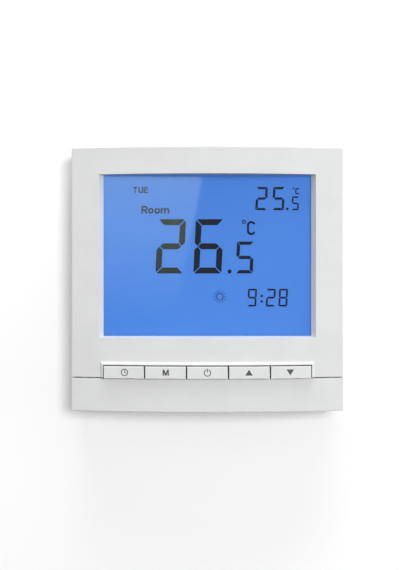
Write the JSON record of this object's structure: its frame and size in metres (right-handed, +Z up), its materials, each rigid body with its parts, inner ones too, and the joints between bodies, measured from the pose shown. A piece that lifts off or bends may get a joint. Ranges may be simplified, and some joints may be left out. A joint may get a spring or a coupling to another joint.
{
  "type": "wall thermostat",
  "caption": "Square wall thermostat with a bowed front, a large blue backlit display, a row of push keys and a rear housing that sinks into the wall box.",
  "frame": {"origin": "centre of the wall plane, midway between the two wall screws", "axes": "+X to the right as seen from the room, +Y into the wall, +Z up"},
  "size_m": [0.0888, 0.0447, 0.086],
  "materials": {
    "white_plastic": "fine-grained moulded",
    "key_plastic": "fine-grained moulded",
    "clear_window": "clear, polished",
    "lcd_glass": "blue backlit liquid crystal",
    "black_rubber": "moulded",
    "white_film": "satin film",
    "clear_acrylic": "clear, polished",
    "led_white": "moulded lamp",
    "frame_plastic": "moulded",
    "circuit_board": "coated circuit board",
    "zinc_steel": "zinc-plated",
    "chip_plastic": "moulded",
    "can_metal": "nickel-plated",
    "contact_metal": "tinned",
    "sensor_coat": "dipped",
    "black_plastic": "moulded",
    "grey_plastic": "fine-grained moulded",
    "cover_plastic": "moulded",
    "relay_plastic": "moulded",
    "ferrite": "ground ferrite",
    "coil_tape": "taped winding",
    "capacitor_plastic": "moulded",
    "sleeve_plastic": "shrunk sleeve",
    "varistor_coat": "dipped",
    "fuse_coat": "coated",
    "terminal_plastic": "moulded"
  },
  "bodies": {
    "base": {"mounting_plate": "zinc_steel", "rear_housing": "grey_plastic", "inner_cover": "cover_plastic", "housing_screws": "zinc_steel", "power_board": "circuit_board", "header_socket": "black_plastic", "relay": "relay_plastic", "transformer_core": "ferrite", "transformer_coil": "coil_tape", "filter_capacitor": "capacitor_plastic", "electrolytic_capacitors": "sleeve_plastic", "varistor": "varistor_coat", "fuse": "fuse_coat", "terminal_block": "terminal_plastic", "terminal_contacts": "contact_metal"},
    "front_unit": {"front_fascia": "white_plastic", "lower_fascia": "white_plastic", "display_window": "clear_window", "lcd_front_glass": "lcd_glass", "lcd_rear_glass": "lcd_glass", "zebra_strip": "black_rubber", "diffuser_sheet": "white_film", "light_guide": "clear_acrylic", "reflector_sheet": "white_film", "backlight_leds": "led_white", "lcd_frame": "frame_plastic", "display_board": "circuit_board", "display_board_screws": "zinc_steel", "microcontroller": "chip_plastic", "clock_crystal": "can_metal", "coin_cell": "can_metal", "coin_cell_clip": "contact_metal", "room_sensor": "sensor_coat", "header_spacer": "black_plastic", "header_pins": "contact_metal", "switch_bodies": "black_plastic"},
    "button_clock": {"button_clock": "key_plastic"},
    "plunger_clock": {"switch_plunger_clock": "black_plastic"},
    "button_mode": {"button_mode": "key_plastic"},
    "plunger_mode": {"switch_plunger_mode": "black_plastic"},
    "button_power": {"button_power": "key_plastic"},
    "plunger_power": {"switch_plunger_power": "black_plastic"},
    "button_up": {"button_up": "key_plastic"},
    "plunger_up": {"switch_plunger_up": "black_plastic"},
    "button_down": {"button_down": "key_plastic"},
    "plunger_down": {"switch_plunger_down": "black_plastic"},
    "screw_1": {"terminal_screw_1": "zinc_steel"},
    "cage_1": {"terminal_cage_1": "contact_metal"},
    "screw_2": {"terminal_screw_2": "zinc_steel"},
    "cage_2": {"terminal_cage_2": "contact_metal"},
    "screw_3": {"terminal_screw_3": "zinc_steel"},
    "cage_3": {"terminal_cage_3": "contact_metal"},
    "screw_4": {"terminal_screw_4": "zinc_steel"},
    "cage_4": {"terminal_cage_4": "contact_metal"},
    "screw_5": {"terminal_screw_5": "zinc_steel"},
    "cage_5": {"terminal_cage_5": "contact_metal"},
    "screw_6": {"terminal_screw_6": "zinc_steel"},
    "cage_6": {"terminal_cage_6": "contact_metal"}
  },
  "joints": [
    {"name": "front_unit_pull", "type": "slide", "parent": "base", "child": "front_unit", "axis": [0, -1, 0], "range_m": [0, 0.03]},
    {"name": "button_clock_press", "type": "slide", "parent": "front_unit", "child": "button_clock", "axis": [0, 1, 0], "range_m": [0, 0.0003], "stiffness_N_per_m": 800, "springref_m": -0.001},
    {"name": "plunger_clock_press", "type": "slide", "parent": "front_unit", "child": "plunger_clock", "axis": [0, 1, 0], "range_m": [0, 0.0003]},
    {"name": "button_mode_press", "type": "slide", "parent": "front_unit", "child": "button_mode", "axis": [0, 1, 0], "range_m": [0, 0.0003], "stiffness_N_per_m": 800, "springref_m": -0.001},
    {"name": "plunger_mode_press", "type": "slide", "parent": "front_unit", "child": "plunger_mode", "axis": [0, 1, 0], "range_m": [0, 0.0003]},
    {"name": "button_power_press", "type": "slide", "parent": "front_unit", "child": "button_power", "axis": [0, 1, 0], "range_m": [0, 0.0003], "stiffness_N_per_m": 800, "springref_m": -0.001},
    {"name": "plunger_power_press", "type": "slide", "parent": "front_unit", "child": "plunger_power", "axis": [0, 1, 0], "range_m": [0, 0.0003]},
    {"name": "button_up_press", "type": "slide", "parent": "front_unit", "child": "button_up", "axis": [0, 1, 0], "range_m": [0, 0.0003], "stiffness_N_per_m": 800, "springref_m": -0.001},
    {"name": "plunger_up_press", "type": "slide", "parent": "front_unit", "child": "plunger_up", "axis": [0, 1, 0], "range_m": [0, 0.0003]},
    {"name": "button_down_press", "type": "slide", "parent": "front_unit", "child": "button_down", "axis": [0, 1, 0], "range_m": [0, 0.0003], "stiffness_N_per_m": 800, "springref_m": -0.001},
    {"name": "plunger_down_press", "type": "slide", "parent": "front_unit", "child": "plunger_down", "axis": [0, 1, 0], "range_m": [0, 0.0003]},
    {"name": "terminal_screw_1_turn", "type": "hinge", "parent": "base", "child": "screw_1", "pos_m": [-0.0127, 0.0216, -0.017], "axis": [0, -1, 0], "range_deg": [0, 1980]},
    {"name": "terminal_cage_1_rise", "type": "slide", "parent": "base", "child": "cage_1", "axis": [0, 1, 0], "range_m": [0, 0.00275]},
    {"name": "terminal_screw_2_turn", "type": "hinge", "parent": "base", "child": "screw_2", "pos_m": [-0.00762, 0.0216, -0.017], "axis": [0, -1, 0], "range_deg": [0, 1980]},
    {"name": "terminal_cage_2_rise", "type": "slide", "parent": "base", "child": "cage_2", "axis": [0, 1, 0], "range_m": [0, 0.00275]},
    {"name": "terminal_screw_3_turn", "type": "hinge", "parent": "base", "child": "screw_3", "pos_m": [-0.00254, 0.0216, -0.017], "axis": [0, -1, 0], "range_deg": [0, 1980]},
    {"name": "terminal_cage_3_rise", "type": "slide", "parent": "base", "child": "cage_3", "axis": [0, 1, 0], "range_m": [0, 0.00275]},
    {"name": "terminal_screw_4_turn", "type": "hinge", "parent": "base", "child": "screw_4", "pos_m": [0.00254, 0.0216, -0.017], "axis": [0, -1, 0], "range_deg": [0, 1980]},
    {"name": "terminal_cage_4_rise", "type": "slide", "parent": "base", "child": "cage_4", "axis": [0, 1, 0], "range_m": [0, 0.00275]},
    {"name": "terminal_screw_5_turn", "type": "hinge", "parent": "base", "child": "screw_5", "pos_m": [0.00762, 0.0216, -0.017], "axis": [0, -1, 0], "range_deg": [0, 1980]},
    {"name": "terminal_cage_5_rise", "type": "slide", "parent": "base", "child": "cage_5", "axis": [0, 1, 0], "range_m": [0, 0.00275]},
    {"name": "terminal_screw_6_turn", "type": "hinge", "parent": "base", "child": "screw_6", "pos_m": [0.0127, 0.0216, -0.017], "axis": [0, -1, 0], "range_deg": [0, 1980]},
    {"name": "terminal_cage_6_rise", "type": "slide", "parent": "base", "child": "cage_6", "axis": [0, 1, 0], "range_m": [0, 0.00275]}
  ],
  "couplings": [
    {"joint": "plunger_clock_press", "follows": "button_clock_press", "ratio": 1},
    {"joint": "plunger_mode_press", "follows": "button_mode_press", "ratio": 1},
    {"joint": "plunger_power_press", "follows": "button_power_press", "ratio": 1},
    {"joint": "plunger_up_press", "follows": "button_up_press", "ratio": 1},
    {"joint": "plunger_down_press", "follows": "button_down_press", "ratio": 1},
    {"joint": "terminal_screw_1_turn", "follows": "terminal_cage_1_rise", "rad_per_m": 12566},
    {"joint": "terminal_screw_2_turn", "follows": "terminal_cage_2_rise", "rad_per_m": 12566},
    {"joint": "terminal_screw_3_turn", "follows": "terminal_cage_3_rise", "rad_per_m": 12566},
    {"joint": "terminal_screw_4_turn", "follows": "terminal_cage_4_rise", "rad_per_m": 12566},
    {"joint": "terminal_screw_5_turn", "follows": "terminal_cage_5_rise", "rad_per_m": 12566},
    {"joint": "terminal_screw_6_turn", "follows": "terminal_cage_6_rise", "rad_per_m": 12566}
  ]
}
